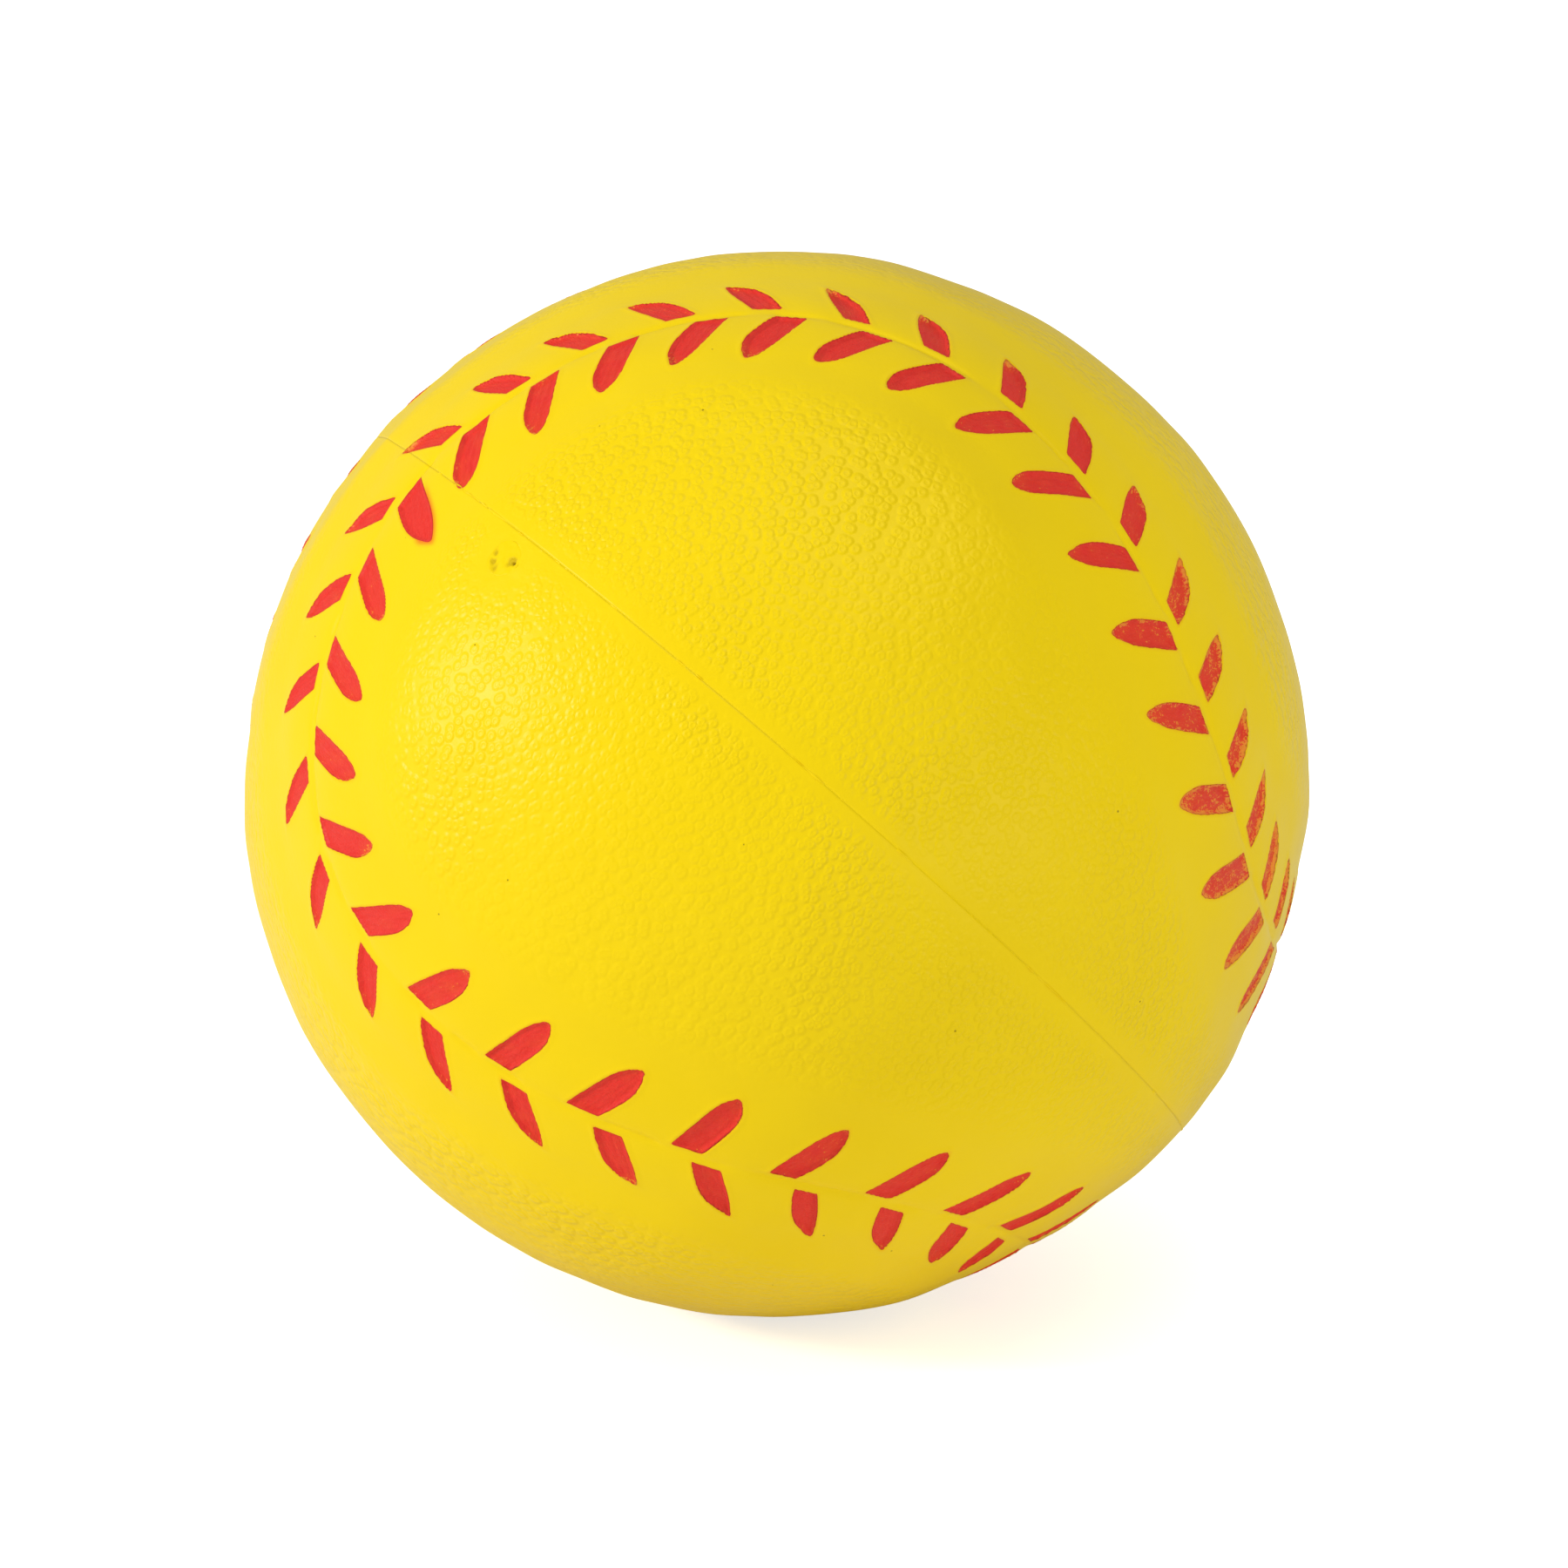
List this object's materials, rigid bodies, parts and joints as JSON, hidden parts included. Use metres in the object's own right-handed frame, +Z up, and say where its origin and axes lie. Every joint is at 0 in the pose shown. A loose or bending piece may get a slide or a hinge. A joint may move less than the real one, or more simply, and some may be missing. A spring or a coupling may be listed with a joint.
{
  "type": "stress ball",
  "caption": "Round foam stress ball with a softball pattern: a self-skinned foam moulding, a sunk seam and painted moulded stitches, squeezed in one hand.",
  "frame": {"origin": "centre of the ball", "axes": "+Z up and -Y towards the viewer as the ball lies on a desk; the mould's parting plane stands tilted to all three axes, and its normal is the squeeze joint's axis"},
  "size_m": [0.063, 0.063, 0.063],
  "materials": {
    "skin": "satin yellow foam skin with a pebble grain",
    "foam": "dull open-cell foam",
    "stitch_paint": "thin matt red paint"
  },
  "bodies": {
    "palm_half": {"foam_core": "foam", "skin_lower_half": "skin", "stitch_paint_row1_lower": "stitch_paint", "stitch_paint_row2_lower": "stitch_paint", "parting_flash": "skin", "pour_nub": "foam"},
    "finger_half": {"skin_upper_half": "skin", "stitch_paint_row1_upper": "stitch_paint", "stitch_paint_row2_upper": "stitch_paint"}
  },
  "joints": [
    {"name": "squeeze", "type": "slide", "parent": "palm_half", "child": "finger_half", "axis": [-0.6519, -0.2484, -0.7164], "range_m": [0, 0.02], "stiffness_N_per_m": 3000, "deforming": ["foam_core", "skin_upper_half", "skin_lower_half", "stitch_paint_row1_upper", "stitch_paint_row2_upper", "stitch_paint_row1_lower", "stitch_paint_row2_lower", "parting_flash", "pour_nub"]}
  ]
}
